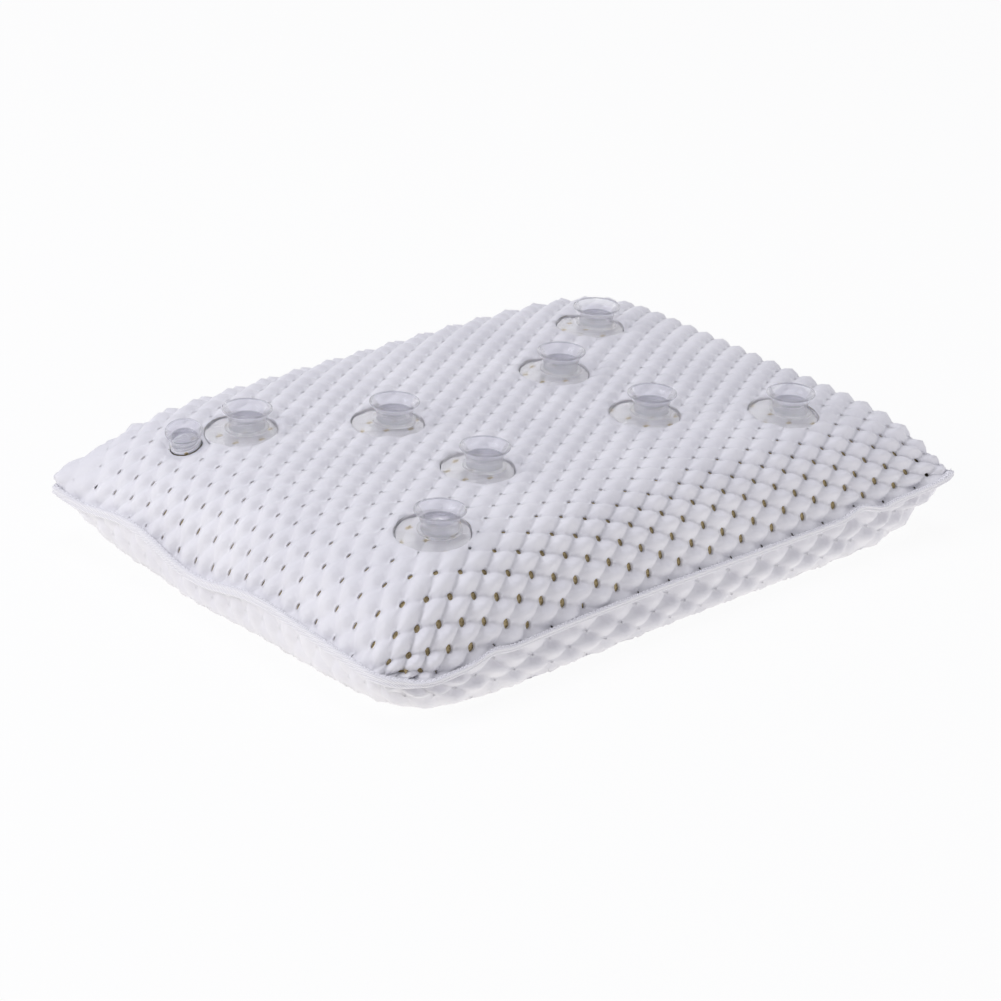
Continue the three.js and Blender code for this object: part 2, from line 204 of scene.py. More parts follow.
class Cup:
    """Where one cup sits: the middle of its disc's or foot's underside, and the way it faces."""

    def __init__(self, index, x, y, small):
        self.index, self.small = index, small
        self.scale = SMALL_SCALE if small else 1.0
        self.radius = FOOT_RADIUS * self.scale if small else DISC_RADIUS
        self.opening = self.radius + FIT_GAP
        self.lean, self.heading = CUP_LEANS[index - 1]
        joint = next(j for j in frame["joints"] if j["child"] == f"cup_{index}")
        self.axis = np.array(joint["axis"]) / np.linalg.norm(joint["axis"])
        u, v = 2 * x / LENGTH, 2 * y / WIDTH
        for _ in range(8):
            half_length, half_width = half_sizes(u, v, CROWN_INSET)
            u, v = x / half_length, y / half_width
        self.crown = np.array((x, y, float(crown_height(u, v))))
        self.base = FOOT_THICKNESS * self.scale if small else DISC_THICKNESS
        self.origin = self.crown - self.axis * (DISC_RECESS + self.base)
        turn = Vector((0, 0, 1)).rotation_difference(Vector(self.axis))
        self.matrix = Matrix.Translation(Vector(self.origin)) @ turn.to_matrix().to_4x4()

    def local(self, points):
        inverse = np.array(self.matrix.inverted())
        return points @ inverse[:3, :3].T + inverse[:3, 3]


small_x, small_y = towards(SMALL_HEADING, DISC_RADIUS + FOOT_RADIUS * SMALL_SCALE + SMALL_GAP)
PLACES = (
    (-OUTER_X, -OUTER_Y), (-INNER_X, -INNER_Y), (-OUTER_X, OUTER_Y), (-INNER_X, INNER_Y),
    (OUTER_X, -OUTER_Y), (INNER_X, -INNER_Y), (OUTER_X, OUTER_Y), (INNER_X, INNER_Y),
    (-OUTER_X + small_x, OUTER_Y + small_y),
)
cups = [Cup(i + 1, x, y, i == 8) for i, (x, y) in enumerate(PLACES)]


def place_points(points, cup):
    matrix = np.array(cup.matrix)
    return points @ matrix[:3, :3].T + matrix[:3, 3]


# Meshes
def make_object(name, points, faces, material, smooth=True):
    mesh = bpy.data.meshes.new(name)
    mesh.from_pydata((np.asarray(points) * 0.001).tolist(), [], [tuple(f) for f in faces])
    mesh.polygons.foreach_set("use_smooth", [smooth] * len(mesh.polygons))
    mesh.materials.append(material)
    mesh.update()
    made = bpy.data.objects.new(name, mesh)
    bpy.context.scene.collection.objects.link(made)
    return made


class Cover:
    """A cushion surface that the mesh's lattice is laid on, by lengths along and across its middle."""

    def __init__(self, surface, out, start):
        self.out, self.start, self.seats = out, start, []
        self.s = np.linspace(-1, 1, 241)
        self.t = np.linspace(-1, 1, 201)
        u = np.sign(self.s) * (1 - (1 - np.abs(self.s)) ** 4)
        v = np.sign(self.t) * (1 - (1 - np.abs(self.t)) ** 4)
        self.points = surface(*np.meshgrid(u, v))
        self.along = self.lengths(self.points[len(self.t) // 2])
        self.across = self.lengths(self.points[:, len(self.s) // 2])
        ds, dt = np.gradient(self.points, axis=1), np.gradient(self.points, axis=0)
        normals = np.cross(ds, dt) * out
        self.normals = normals / np.maximum(np.linalg.norm(normals, axis=-1, keepdims=True), 1e-12)

    def lengths(self, line):
        step = np.diff(line, axis=0)
        length = np.linalg.norm(step, axis=1) - SLOPE_GIVE * np.abs(step[:, 2])
        total = np.insert(np.cumsum(length), 0, 0)
        return total - total[len(total) // 2]

    def sample(self, grid, s, t):
        fs = np.clip((s + 1) / 2 * (len(self.s) - 1), 0, len(self.s) - 1.000001)
        ft = np.clip((t + 1) / 2 * (len(self.t) - 1), 0, len(self.t) - 1.000001)
        i, j = fs.astype(int), ft.astype(int)
        a, b = (fs - i)[:, None], (ft - j)[:, None]
        low = grid[j, i] * (1 - a) + grid[j, i + 1] * a
        high = grid[j + 1, i] * (1 - a) + grid[j + 1, i + 1] * a
        return low * (1 - b) + high * b

    def place(self, s, t):
        normal = self.sample(self.normals, s, t)
        return self.sample(self.points, s, t), normal / np.linalg.norm(normal, axis=1, keepdims=True)

    def locate(self, flat):
        """Surface places s and t of flat points, how far past the sewn edge they lie, and their room to it."""
        left = smooth_step(-2 * flat[:, 0] / LENGTH, 0.1, 1)
        front = smooth_step(-2 * flat[:, 1] / WIDTH, 0.1, 1)
        x, y = flat[:, 0] - CORNER_PULL * left * front, flat[:, 1] - CORNER_PULL * left * front
        s, t = np.interp(x, self.along, self.s), np.interp(y, self.across, self.t)
        past_x = np.maximum(x - self.along[-1], 0) - np.maximum(self.along[0] - x, 0)
        past_y = np.maximum(y - self.across[-1], 0) - np.maximum(self.across[0] - y, 0)
        edge = np.minimum(np.minimum(self.along[-1] - x, x - self.along[0]),
                          np.minimum(self.across[-1] - y, y - self.across[0]))
        return s, t, past_x, past_y, edge


def near_ear(s, t):
    """1 at the pointed corners, where the mesh is drawn tight, and 0 away from them.

    The left corner is tight further in than the right one.
    """
    start = np.where(s < 0, 0.28, 0.42)
    tight = smooth_step(np.abs(s) - start, 0, 0.22) * smooth_step(np.abs(t) - start, 0, 0.22)
    return np.where(s * t < 0, tight, 0)


def lump_height(flat, start):
    """0 on top of a lump, down to -1 at the holes, and less deep where neighbouring lumps join."""
    place = (flat - start) @ np.linalg.inv(np.stack([ROPE_STEP, NEXT_STEP]))
    s, t = (2 * (place - np.floor(place)) - 1).T
    between_rows = np.abs(t) ** 1.6 * (0.75 + 0.25 * s * s)
    along_row = np.abs(s) ** 1.6 * (0.75 + 0.25 * t * t)
    return (1 - between_rows) * (1 - along_row) - 1


def lattice(cover):
    """Rings of points round each hole: flat places, ring numbers, gaps to the hole, and faces between."""
    reach = int(2 * LENGTH / ROPE_STEP[0])
    i, j = np.meshgrid(np.arange(-reach, reach), np.arange(-reach, reach))
    cells = np.stack([i.ravel(), j.ravel()], 1)
    holes = cover.start + cells[:, :1] * ROPE_STEP + cells[:, 1:] * NEXT_STEP
    in_length = np.abs(holes[:, 0]) < LENGTH / 2 + LATTICE_MARGIN
    in_width = np.abs(holes[:, 1]) < WIDTH / 2 + LATTICE_MARGIN
    holes = holes[in_length & in_width]
    k = np.arange(SIDES)
    f = SIDE_PLACES[k % len(SIDE_PLACES)]
    side = k // len(SIDE_PLACES)
    edge_p = np.choose(side, [np.full(SIDES, 0.5), 0.5 - f, np.full(SIDES, -0.5), f - 0.5])
    edge_q = np.choose(side, [f - 0.5, np.full(SIDES, 0.5), 0.5 - f, np.full(SIDES, -0.5)])
    border = edge_p[:, None] * ROPE_STEP + edge_q[:, None] * NEXT_STEP

    s, t, _, _, edge = cover.locate(holes)
    _, normal = cover.place(s, t)
    opened = (0.3 + 0.7 * smooth_step(edge, 0, 6)) * (1 - 0.95 * near_ear(s, t))
    opened *= UNDER_HOLES if cover.out < 0 else 1
    for seat in cover.seats:
        opened *= 0.3 + 0.7 * smooth_step(seat.distance(holes) - seat.cup.opening, 0, 6)
    slopes = np.stack([np.ones(len(s)), np.abs(normal[:, 0]), np.abs(normal[:, 1])])
    hole_x, hole_y = opened * (HOLE_X @ slopes), opened * (HOLE_Y @ slopes)
    along = np.abs(border[None, :, 0] / hole_x[:, None]) ** HOLE_ROUNDING
    across = np.abs(border[None, :, 1] / hole_y[:, None]) ** HOLE_ROUNDING
    rim = border[None] / ((along + across) ** (1 / HOLE_ROUNDING))[..., None]

    shares = np.array((0.0,) + RINGS)
    points = holes[:, None, None] + rim[:, None] * (1 - shares[None, :, None, None])
    points = points + border[None, None] * shares[None, :, None, None]
    ring = np.broadcast_to(np.arange(len(shares))[None, :, None], points.shape[:3])
    gap = np.linalg.norm(points - holes[:, None, None] - rim[:, None], axis=-1)
    flat = points.reshape(-1, 2)
    number = np.arange(len(flat))
    outer = np.nonzero(ring.reshape(-1) == len(shares) - 1)[0]
    keys = np.round(flat[outer] * 1000).astype(np.int64)
    _, first, inverse = np.unique(keys, axis=0, return_index=True, return_inverse=True)
    number[outer] = outer[first][inverse.ravel()]
    grid = number.reshape(points.shape[:3])
    after = np.roll(grid, -1, axis=2)
    faces = np.stack([grid[:, :-1], after[:, :-1], after[:, 1:], grid[:, 1:]], -1).reshape(-1, 4)
    return flat, ring.reshape(-1), gap.reshape(-1), faces


def finish_faces(points, faces):
    """Drops points that no face uses, and faces with no area."""
    corners = points[faces]
    area = np.linalg.norm(np.cross(corners[:, 2] - corners[:, 0], corners[:, 3] - corners[:, 1]), axis=1)
    faces = faces[area > 1e-3]
    used, inverse = np.unique(faces, return_inverse=True)
    return points[used], inverse.reshape(faces.shape)


def relief_share(normal):
    """The lumps are full where the surface faces the front or back, and lower elsewhere."""
    return FLAT_RELIEF + (1 - FLAT_RELIEF) * smooth_step(np.abs(normal[:, 1]), 0.15, 0.55)


def cover_mesh(cover, sink, clamp):
    """The lumpy mesh on a cover. sink lowers it, and clamp says where it ends inside the cover."""
    start, ring, gap, faces = lattice(cover)
    flat = clamp(start)
    faces = faces[~np.any(flat != start, axis=1)[faces].all(axis=1)]
    s, t, past_x, past_y, edge = cover.locate(flat)
    base, normal = cover.place(s, t)
    past = np.maximum(np.abs(past_x), np.abs(past_y))
    hem = smooth_step(past, 0, 0.5)
    normal = normal * (1 - hem)[:, None] + np.array((0, 0, cover.out)) * hem[:, None]
    base[:, 0] += np.clip(past_x, -HEM_REACH, HEM_REACH)
    base[:, 1] += np.clip(past_y, -HEM_REACH, HEM_REACH)

    full = (0.2 + 0.8 * smooth_step(edge, -1, 2.5)) * (1 - 0.7 * near_ear(s, t))
    full *= relief_share(normal)
    for seat in cover.seats:
        full *= 0.5 + 0.5 * smooth_step(seat.distance(flat) - seat.cup.opening, 0, 3.5)
    top = LUMP_RISE + CREASE_DEPTH * lump_height(flat, cover.start)
    rounding = np.clip(gap / 1.6, 0, 1)
    curve = np.sqrt(1 - (1 - rounding) ** 2)
    depth = -WAIST_DEPTH + (top + WAIST_DEPTH) * curve
    depth = np.where(ring == 0, -WALL_DEPTH, depth)
    if cover.out < 0:
        full *= UNDER_RELIEF * (0.4 + 0.6 * smooth_step(base[:, 2], 0, 12))
    else:
        faces = faces[:, ::-1]
    points = sink(base + normal * (depth * full)[:, None], base)
    points[:, 2] = np.maximum(points[:, 2], 0)
    return finish_faces(points, faces)


# Materials
def new_material(name):
    made = bpy.data.materials.new(name)
    made.use_nodes = True
    nodes = made.node_tree.nodes
    return made, nodes, made.node_tree.links, nodes["Principled BSDF"]


def linear(red, green, blue):
    def one(value):
        value /= 255
        return value / 12.92 if value <= 0.04045 else ((value + 0.055) / 1.055) ** 2.4
    return (one(red), one(green), one(blue), 1)


def add_noise(nodes, links, scale, detail, vector=None):
    noise = nodes.new("ShaderNodeTexNoise")
    noise.inputs["Scale"].default_value = scale
    noise.inputs["Detail"].default_value = detail
    if vector is None:
        vector = nodes.new("ShaderNodeTexCoord").outputs["Object"]
    links.new(vector, noise.inputs["Vector"])
    return noise


def add_ramp(nodes, links, value, low, high, low_at=0.35, high_at=0.65):
    ramp = nodes.new("ShaderNodeValToRGB")
    ramp.color_ramp.elements[0].position = low_at
    ramp.color_ramp.elements[0].color = low
    ramp.color_ramp.elements[1].position = high_at
    ramp.color_ramp.elements[1].color = high
    links.new(value, ramp.inputs["Fac"])
    return ramp


def add_bump(nodes, links, shader, height, strength, distance):
    bump = nodes.new("ShaderNodeBump")
    bump.inputs["Strength"].default_value = strength
    bump.inputs["Distance"].default_value = distance
    links.new(height, bump.inputs["Height"])
    links.new(bump.outputs["Normal"], shader.inputs["Normal"])


def foamed_vinyl():
    made, nodes, links, shader = new_material("foamed_vinyl_mesh")
    tint = add_noise(nodes, links, 22, 3)
    ramp = add_ramp(nodes, links, tint.outputs["Fac"], linear(222, 221, 226), linear(230, 229, 233))
    links.new(ramp.outputs["Color"], shader.inputs["Base Color"])
    shader.inputs["Roughness"].default_value = 0.5
    shader.inputs["Specular IOR Level"].default_value = 0.4
    shader.inputs["Sheen Weight"].default_value = 0.1
    skin = add_noise(nodes, links, 1600, 3)
    add_bump(nodes, links, shader, skin.outputs["Fac"], 0.25, 0.0004)
    return made


def open_foam():
    made, nodes, links, shader = new_material("open_cell_foam")
    cells = nodes.new("ShaderNodeTexVoronoi")
    cells.inputs["Scale"].default_value = 900
    links.new(nodes.new("ShaderNodeTexCoord").outputs["Object"], cells.inputs["Vector"])
    dark, pale = linear(142, 126, 90), linear(194, 176, 134)
    ramp = add_ramp(nodes, links, cells.outputs["Distance"], dark, pale, 0.1, 0.6)
    links.new(ramp.outputs["Color"], shader.inputs["Base Color"])
    shader.inputs["Roughness"].default_value = 0.95
    shader.inputs["Specular IOR Level"].default_value = 0.1
    add_bump(nodes, links, shader, cells.outputs["Distance"], 0.7, 0.001)
    return made


def woven_tape():
    made, nodes, links, shader = new_material("woven_tape")
    coordinates = nodes.new("ShaderNodeTexCoord").outputs["UV"]
    wave = nodes.new("ShaderNodeTexWave")
    wave.wave_type, wave.bands_direction = "BANDS", "DIAGONAL"
    wave.inputs["Scale"].default_value = 480
    wave.inputs["Distortion"].default_value = 1.5
    links.new(coordinates, wave.inputs["Vector"])
    ramp = add_ramp(nodes, links, wave.outputs["Fac"], linear(210, 209, 214), linear(240, 239, 243), 0.2, 0.8)
    links.new(ramp.outputs["Color"], shader.inputs["Base Color"])
    shader.inputs["Roughness"].default_value = 0.75
    shader.inputs["Sheen Weight"].default_value = 0.2
    add_bump(nodes, links, shader, wave.outputs["Fac"], 0.25, 0.0003)
    return made


def spun_thread():
    made, nodes, links, shader = new_material("spun_thread")
    fibre = add_noise(nodes, links, 2500, 2)
    ramp = add_ramp(nodes, links, fibre.outputs["Fac"], linear(222, 221, 227), linear(240, 240, 244))
    links.new(ramp.outputs["Color"], shader.inputs["Base Color"])
    shader.inputs["Roughness"].default_value = 0.6
    add_bump(nodes, links, shader, fibre.outputs["Fac"], 0.4, 0.0002)
    return made


def clear_vinyl(name, tint, through, bend, alpha):
    made, nodes, links, shader = new_material(name)
    shader.inputs["Base Color"].default_value = tint
    shader.inputs["Transmission Weight"].default_value = through
    shader.inputs["IOR"].default_value = bend
    shader.inputs["Alpha"].default_value = alpha
    ripple = add_noise(nodes, links, 90, 2)
    ramp = add_ramp(nodes, links, ripple.outputs["Fac"], (0.06, 0.06, 0.06, 1), (0.14, 0.14, 0.14, 1))
    links.new(ramp.outputs["Color"], shader.inputs["Roughness"])
    add_bump(nodes, links, shader, ripple.outputs["Fac"], 0.15, 0.001)
    return made


MESH, FOAM, TAPE, THREAD = foamed_vinyl(), open_foam(), woven_tape(), spun_thread()
BOWL_VINYL = clear_vinyl("clear_vinyl_bowl", linear(238, 238, 245), 1.0, 1.3, 0.5)
# The neck and lip get a darker, less clear copy of the bowl's vinyl, which is painted shade.
SHADED_NECK_VINYL = clear_vinyl("clear_vinyl_neck_painted_shade", linear(182, 182, 194), 0.5, 1.35, 0.6)
# The disc's faint warm-grey tint is painted shade of the pressed mesh under it.
DISC_VINYL = clear_vinyl("clear_vinyl_disc_painted_shade", linear(242, 240, 236), 1.0, 1.16, 0.2)


def dress(piece, body, slot, *nodes):
    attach(piece, body)
    if nodes:
        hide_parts(*nodes)
    return piece


# Covers, the top one open round each disc and the small foot
top = Cover(top_surface, 1, TOP_START)
bottom = Cover(bottom_surface, -1, BOTTOM_START)


class Seat:
    """A cup's place in the lattice's own flat lengths, and how those lengths lie there."""

    def __init__(self, cover, cup):
        self.cup = cup
        self.middle = cup.crown[:2].copy()
        for _ in range(15):
            self.middle += cup.crown[:2] - self.surface(cover, self.middle)[:2]
        steps = []
        for side in np.eye(2) * 8:
            steps.append(self.surface(cover, self.middle + side) - self.surface(cover, self.middle - side))
        turn = np.array(cup.matrix)[:3, :3]
        self.shape = (np.array(steps) @ turn)[:, :2].T / 16

    def surface(self, cover, flat):
        s, t, *_ = cover.locate(flat[None])
        return cover.sample(cover.points, s, t)[0]

    def distance(self, flat):
        return np.linalg.norm((flat - self.middle) @ self.shape.T, axis=1)

    def at_radius(self, flat, radius):
        """The points of the circle of this radius that lie straight out from the flat points."""
        away = (flat - self.middle) @ self.shape.T
        away *= radius / np.maximum(np.linalg.norm(away, axis=1, keepdims=True), 1e-6)
        return self.middle + away @ np.linalg.inv(self.shape).T


top.seats = seats = [Seat(top, cup) for cup in cups]


def clear_of_cups(flat):
    moved = flat.copy()
    for seat in seats:
        inside = (seat.distance(moved) < seat.cup.opening)[:, None]
        moved = np.where(inside, seat.at_radius(moved, seat.cup.opening), moved)
    return moved


def below_rim(place, cup):
    """Lowers what would be under a small cup's rim when it is pressed. Points are in the cup's own frame."""
    rise = (CUP_HEIGHT - LIP_DEPTH - FOOT_THICKNESS) * cup.scale
    rim_x, rim_y = towards(cup.heading, rise * math.sin(math.radians(cup.lean)))
    reach = np.hypot(place[:, 0] - rim_x, place[:, 1] - rim_y) - RIM_RADIUS * cup.scale - FIT_GAP
    floor = SMALL_WELL_TOP + 5.1 * smooth_step(reach, 1.2, 5)
    near = (reach < 5) & (np.abs(place[:, 2]) < 8)
    lowered = place.copy()
    lowered[:, 2] = np.where(near, np.minimum(place[:, 2], floor), place[:, 2])
    return lowered


def sink_round_cups(points, base):
    """Rounds the mesh down into each well, and lowers it below the small cup's rim."""
    for cup in cups:
        place = cup.local(points)
        distance = np.maximum(np.hypot(place[:, 0], place[:, 1]), 1e-6)
        near = np.abs(cup.local(base)[:, 2]) < 8
        short = np.where(near, np.clip(cup.opening - distance, 0, 3), 0)
        out = np.stack([place[:, 0] / distance, place[:, 1] / distance, np.zeros(len(place))], 1)
        gap = distance + short - cup.opening
        curve = np.sqrt(np.clip(1 - (1 - np.clip(gap / 1.8, 0, 1)) ** 2, 0, 1))
        place = place + out * short[:, None]
        if not cup.small:
            level = DISC_THICKNESS + RIM_LEVEL - cup.local(base)[:, 2]
            place[:, 2] += level * (1 - smooth_step(gap, 0, 6))
            place[:, 2] = RIM_EDGE + (place[:, 2] - RIM_EDGE) * curve
        else:
            place[:, 2] -= 1.4 * (1 - curve)
            place = below_rim(place, cup)
        points = np.where((near & (gap < 6))[:, None], place_points(place, cup), points)
    return points


def unsunk(points, base):
    return points


def well_wall(cup):
    """The wall of the well that a disc or the small foot goes down in."""
    m = np.arange(CUP_SIDES)
    turns = m * 2 * np.pi / CUP_SIDES
    x, y = cup.opening * np.cos(turns), cup.opening * np.sin(turns)
    heights = (SMALL_WELL_TOP if cup.small else RIM_EDGE, -PRESS_TRAVEL - WELL_ROOM)
    rings = [np.stack([x, y, np.full(CUP_SIDES, z)], 1) for z in heights]
    after = (m + 1) % CUP_SIDES
    faces = np.stack([m, after, after + CUP_SIDES, m + CUP_SIDES], 1)
    return place_points(np.concatenate(rings), cup), faces


points, faces = cover_mesh(top, sink_round_cups, clear_of_cups)
for cup in cups:
    wall_points, wall_faces = well_wall(cup)
    if not cup.small:
        wall_points = place_points(below_rim(cups[-1].local(wall_points), cups[-1]), cups[-1])
    faces = np.concatenate([faces, wall_faces + len(points)])
    points = np.concatenate([points, wall_points])
top_cover = make_object("mesh_cover_top", points, faces, MESH)
dress(top_cover, "cushion", "mesh_cover", "top_cover")

points, faces = cover_mesh(bottom, unsunk, lambda flat: flat)
bottom_cover = make_object("mesh_cover_bottom", points, faces, MESH)
dress(bottom_cover, "cushion", "mesh_cover", "bottom_cover")


# Foam core
def core_mesh():
    """The foam inside both covers, with a pocket below each cup and short of the pointed corners."""
    n_s, n_t = 181, 141
    s, t = np.meshgrid(np.linspace(-1, 1, n_s), np.linspace(-1, 1, n_t))
    s, t = s.ravel(), t.ravel()
    sides = []
    for cover in (top, bottom):
        base, normal = cover.place(s * 0.985, t * 0.985)
        side = base - normal * (CORE_DEPTH * relief_share(normal))[:, None]
        side[:, :2] *= 1 - 0.06 * near_ear(s, t)[:, None]
        sides.append(side)
    for cup in cups:
        place = cup.local(sides[0])
        gap = np.hypot(place[:, 0], place[:, 1]) - cup.radius
        floor = -PRESS_TRAVEL - 4.0 + 12 * smooth_step(gap, 4, 7.5)
        over = np.maximum(0, place[:, 2] - floor)
        sides[0] = sides[0] - np.where(gap < 7.5, over, 0)[:, None] * cup.axis
    rim = (s ** 2 >= 1) | (t ** 2 >= 1)
    middle = (sides[0] + sides[1]) / 2
    sides = [np.where(rim[:, None], middle, side) for side in sides]
    count = n_s * n_t
    upper = np.arange(count)
    lower = np.where(rim, upper, upper + count)
    grid = upper.reshape(n_t, n_s)
    quads = np.stack([grid[:-1, :-1], grid[:-1, 1:], grid[1:, 1:], grid[1:, :-1]], -1).reshape(-1, 4)
    faces = np.concatenate([quads, lower[quads][:, ::-1]])
    return np.concatenate(sides), faces


points, faces = core_mesh()
core = make_object("foam_core_body", points, faces, FOAM)
dress(core, "cushion", "foam", "foam_core")


# Edge binding and its stitches
def edge_path(count):
    """Evenly spaced places u and v round the edge, counter-clockwise from above, and the edge's length."""
    fine = np.linspace(-1, 1, 2001)[:-1]
    one = np.ones_like(fine)
    u = np.concatenate([fine, one, -fine, -one])
    v = np.concatenate([-one, fine, one, -fine])
    x, y = plan(u, v, 0)
    step = np.hypot(np.diff(x, append=x[:1]), np.diff(y, append=y[:1]))
    length = np.insert(np.cumsum(step), 0, 0)
    at = np.linspace(0, length[-1], count, endpoint=False)
    index = np.searchsorted(length, at, side="right") - 1
    share = (at - length[index]) / step[index]
    following = (index + 1) % len(u)
    even_u = u[index] * (1 - share) + u[following] * share
    even_v = v[index] * (1 - share) + v[following] * share
    return even_u, even_v, length[-1]


def edge_points(u, v, inset, lift):
    x, y = plan(u, v, inset)
    wider = 1 + LEFT_TAPE_SPREAD * smooth_step(-u, 0.97, 1)
    return np.stack([x, y, seam_height(u, v) + lift * wider], -1)


def ring_mesh(section, count):
    u, v, length = edge_path(count)
    loops = [edge_points(u, v, inset, lift) for inset, lift in section]
    n = len(section)
    points = np.stack(loops, 1).reshape(-1, 3)
    grid = np.arange(count * n).reshape(count, n)
    after = np.roll(grid, -1, axis=0)
    ahead = np.roll(grid, -1, axis=1)
    both = np.roll(after, -1, axis=1)
    faces = np.stack([grid, ahead, both, after], -1).reshape(-1, 4)
    return points, faces, length


def tape_section():
    """A folded tape with two ridges round its fold, from the top outwards and down."""
    top_face = [(TAPE_WIDTH, TAPE_TOP - 0.25), (TAPE_WIDTH - 0.5, TAPE_TOP)]
    turn = np.linspace(-0.5, 1, 8) * np.pi / 2
    ridge = [(0.75 - 0.75 * math.cos(a), TAPE_TOP * 0.5 - TAPE_TOP * 0.5 * math.sin(a)) for a in -turn[::-1]]
    upper = top_face + ridge + [(0.35, 0.0)]
    lower = [(inset, -lift) for inset, lift in reversed(upper[:-1])]
    fold = TAPE_THICKNESS + 0.3
    inner = [(TAPE_WIDTH, -TAPE_LOW), (fold, -TAPE_LOW + 0.2), (fold, TAPE_LOW - 0.2), (TAPE_WIDTH, TAPE_LOW)]
    return upper + lower + inner


section = tape_section()
points, faces, edge_length = ring_mesh(section, TAPE_STEPS)
binding = make_object("edge_binding_tape", points, faces, TAPE)
layer = binding.data.uv_layers.new(name="tape")
corner_vertices = np.zeros(len(binding.data.loops), int)
binding.data.loops.foreach_get("vertex_index", corner_vertices)
round_edge = (corner_vertices // len(section)) / TAPE_STEPS * edge_length * 0.001
over_edge = (corner_vertices % len(section)) / len(section) * 0.016
layer.data.foreach_set("uv", np.stack([round_edge, over_edge], 1).astype(np.float32).ravel())
dress(binding, "cushion", "tape", "edge_binding")


def stitch_mesh(lift_sign):
    """A row of lock stitches: short arched threads that dip into the tape at both ends."""
    count = int(edge_length / STITCH_LENGTH)
    steps, around = 5, 6
    turns = np.arange(around) * 2 * np.pi / around
    up = np.array((0, 0, 1))
    u, v, _ = edge_path(count * 10)
    line = edge_points(u, v, STITCH_INSET, lift_sign * TAPE_TOP)
    points, faces = [], []
    for k in range(count):
        places = (k * 10 + np.linspace(0, 8.2, steps)).astype(int) % len(line)
        along = line[places[-1]] - line[places[0]]
        along /= np.linalg.norm(along)
        across = np.cross(up, along)
        circle = np.cos(turns)[:, None] * across + np.sin(turns)[:, None] * up
        for n, place in enumerate(places):
            share = n / (steps - 1)
            arch = 0.42 * math.sin(math.pi * share) ** 0.6 - 0.22
            radius = 0.36 * (0.55 + 0.45 * math.sin(math.pi * share))
            centre = line[place] + np.array((0, 0, lift_sign * arch))
            points.append(centre + radius * circle)
        start = k * steps * around
        for n in range(steps - 1):
            for m in range(around):
                a, b = start + n * around + m, start + n * around + (m + 1) % around
                faces.append((a, b, b + around, a + around))
    return np.concatenate(points), faces


for name, sign, node in (("needle_stitches", 1, "needle_thread"), ("bobbin_stitches", -1, "bobbin_thread")):
    points, faces = stitch_mesh(sign)
    dress(make_object(name, points, faces, THREAD), "cushion", "thread", node)


# Suction cups
def quad_curve(start, control, end, steps):
    t = np.linspace(0, 1, steps + 1)[1:, None]
    start, control, end = np.array(start), np.array(control), np.array(end)
    return [tuple(p) for p in (1 - t) ** 2 * start + 2 * t * (1 - t) * control + t ** 2 * end]


def cup_profile():
    neck_top, lip_foot = FOOT_THICKNESS + NECK_FILLET, CUP_HEIGHT - LIP_DEPTH
    bowl = RIM_RADIUS - LIP_WIDTH
    profile = [(0.0, 0.0), (FOOT_RADIUS - 0.3, 0.0)]
    profile += quad_curve((FOOT_RADIUS - 0.3, 0), (FOOT_RADIUS, 0), (FOOT_RADIUS, 0.3), 3)
    profile += [(FOOT_RADIUS, FOOT_THICKNESS - 0.3)]
    profile += quad_curve(profile[-1], (FOOT_RADIUS, FOOT_THICKNESS), (FOOT_RADIUS - 0.3, FOOT_THICKNESS), 3)
    profile += [(NECK_RADIUS + NECK_FILLET, FOOT_THICKNESS)]
    profile += quad_curve(profile[-1], (NECK_RADIUS, FOOT_THICKNESS), (NECK_RADIUS, neck_top), 5)
    flare_end = (RIM_RADIUS - 0.25, lip_foot - 0.2)
    profile += quad_curve((NECK_RADIUS, neck_top), (NECK_RADIUS, (neck_top + lip_foot) / 2), flare_end, 10)
    profile += quad_curve(profile[-1], (RIM_RADIUS, lip_foot), (RIM_RADIUS, lip_foot + 0.3), 3)
    lip_edge = (bowl - 0.15, CUP_HEIGHT - 0.35)
    lip_low, lip_high = (RIM_RADIUS, lip_foot + 0.3), (RIM_RADIUS - 0.45, CUP_HEIGHT)
    profile += quad_curve(lip_low, (RIM_RADIUS, CUP_HEIGHT), lip_high, 4)
    profile += [(bowl + 0.2, CUP_HEIGHT)]
    profile += quad_curve((bowl + 0.2, CUP_HEIGHT), (bowl - 0.05, CUP_HEIGHT), lip_edge, 3)
    profile += quad_curve(lip_edge, (bowl * BOWL_FULLNESS, BOWL_FLOOR), (0, BOWL_FLOOR), 12)
    return profile


def turned(profile, sides):
    """A closed turned solid: its first and last profile points lie on the axis."""
    turns = np.arange(sides) * 2 * np.pi / sides
    rings = np.array(profile[1:-1])
    points = [np.array([[0, 0, profile[0][1]]])]
    for radius, height in rings:
        points.append(np.stack([radius * np.cos(turns), radius * np.sin(turns), np.full(sides, height)], 1))
    points.append(np.array([[0, 0, profile[-1][1]]]))
    faces = []
    last = 1 + len(rings) * sides
    for m in range(sides):
        after = (m + 1) % sides
        faces.append((0, 1 + after, 1 + m))
        for n in range(len(rings) - 1):
            a, b = 1 + n * sides + m, 1 + n * sides + after
            faces.append((a, b, b + sides, a + sides))
        faces.append((last - sides + m, last - sides + after, last))
    return np.concatenate(points), faces


def lean_neck(points, lean, heading):
    """Leans everything above the foot, gradually over the neck."""
    axis = Vector((*towards(heading + 90, 1), 0))
    pivot = Vector((0, 0, FOOT_THICKNESS))
    moved = []
    shares = smooth_step(points[:, 2], FOOT_THICKNESS, BOWL_FLOOR)
    for point, share in zip(points, shares):
        turn = Quaternion(axis, math.radians(lean) * share)
        moved.append(turn @ (Vector(point) - pivot) + pivot)
    return np.array(moved)


